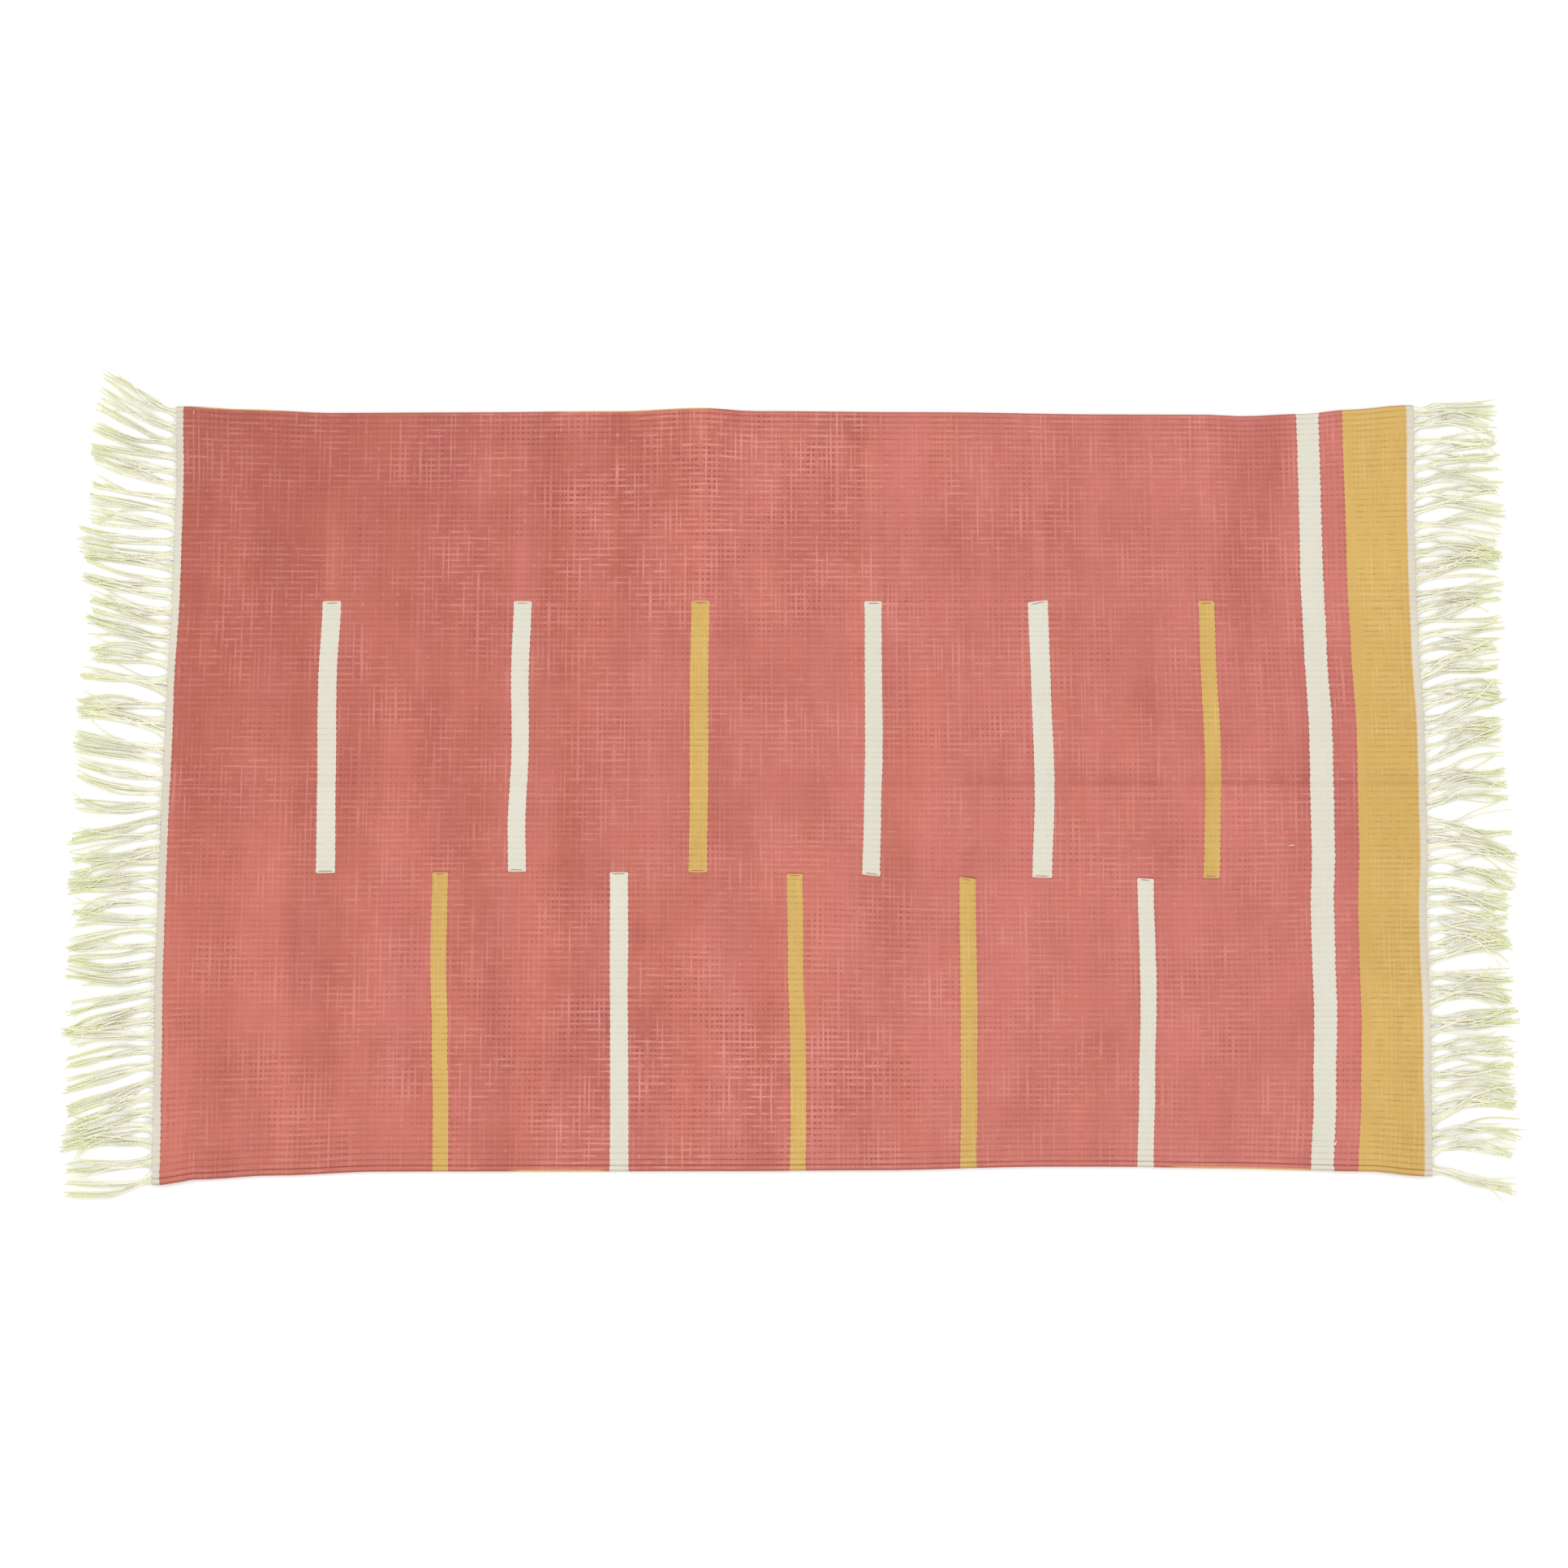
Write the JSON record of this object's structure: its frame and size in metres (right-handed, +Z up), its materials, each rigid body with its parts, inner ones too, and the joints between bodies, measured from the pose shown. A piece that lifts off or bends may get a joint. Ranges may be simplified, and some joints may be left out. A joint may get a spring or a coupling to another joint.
{
  "type": "fringed flat-woven rug",
  "caption": "Small rectangular weft-faced cotton rug with inlaid bars, end bands and a loose fringe at each end, folding in half along a lengthwise crease.",
  "frame": {"origin": "middle of the underside, on the floor", "axes": "+X along the rug towards the end with the mustard band, +Y across it towards the back selvedge, +Z up from the floor"},
  "size_m": [1.14, 0.6384, 0.0042],
  "materials": {
    "coral_weft": "matt dusty coral cotton weft, fine ribs and slubs",
    "white_weft": "matt off-white cotton weft",
    "mustard_weft": "matt mustard cotton weft",
    "cream_heading": "matt cream cotton heading",
    "ecru_warp": "undyed twisted cotton warp yarn"
  },
  "bodies": {
    "front_half": {"coral_field_front": "coral_weft", "coral_stripe_front": "coral_weft", "edge_bar_1_mustard": "mustard_weft", "edge_bar_2_white": "white_weft", "edge_bar_3_mustard": "mustard_weft", "edge_bar_4_mustard": "mustard_weft", "edge_bar_5_white": "white_weft", "fringe_left_front_1": "ecru_warp", "fringe_left_front_2": "ecru_warp", "fringe_left_front_3": "ecru_warp", "fringe_left_front_4": "ecru_warp", "fringe_left_front_5": "ecru_warp", "fringe_right_front_1": "ecru_warp", "fringe_right_front_2": "ecru_warp", "fringe_right_front_3": "ecru_warp", "fringe_right_front_4": "ecru_warp", "fringe_right_front_5": "ecru_warp", "heading_left_front": "cream_heading", "heading_right_front": "cream_heading", "long_bar_1_white_front": "white_weft", "long_bar_2_white_front": "white_weft", "long_bar_3_mustard_front": "mustard_weft", "long_bar_4_white_front": "white_weft", "long_bar_5_white_front": "white_weft", "long_bar_6_mustard_front": "mustard_weft", "mustard_band_front": "mustard_weft", "selvedge_cord_front": "ecru_warp", "warp_front_inner": "ecru_warp", "warp_front_outer": "ecru_warp", "white_stripe_front": "white_weft"},
    "back_half": {"coral_field_back": "coral_weft", "coral_stripe_back": "coral_weft", "fringe_left_back_1": "ecru_warp", "fringe_left_back_2": "ecru_warp", "fringe_left_back_3": "ecru_warp", "fringe_left_back_4": "ecru_warp", "fringe_left_back_5": "ecru_warp", "fringe_right_back_1": "ecru_warp", "fringe_right_back_2": "ecru_warp", "fringe_right_back_3": "ecru_warp", "fringe_right_back_4": "ecru_warp", "fringe_right_back_5": "ecru_warp", "heading_left_back": "cream_heading", "heading_right_back": "cream_heading", "long_bar_1_white_back": "white_weft", "long_bar_2_white_back": "white_weft", "long_bar_3_mustard_back": "mustard_weft", "long_bar_4_white_back": "white_weft", "long_bar_5_white_back": "white_weft", "long_bar_6_mustard_back": "mustard_weft", "mustard_band_back": "mustard_weft", "selvedge_cord_back": "ecru_warp", "warp_back_inner": "ecru_warp", "warp_back_outer": "ecru_warp", "white_stripe_back": "white_weft"}
  },
  "joints": [
    {"name": "fold_along_crease", "type": "hinge", "parent": "front_half", "child": "back_half", "pos_m": [0, 0, 0.0048], "axis": [1, 0, 0], "range_deg": [0, 179]}
  ]
}
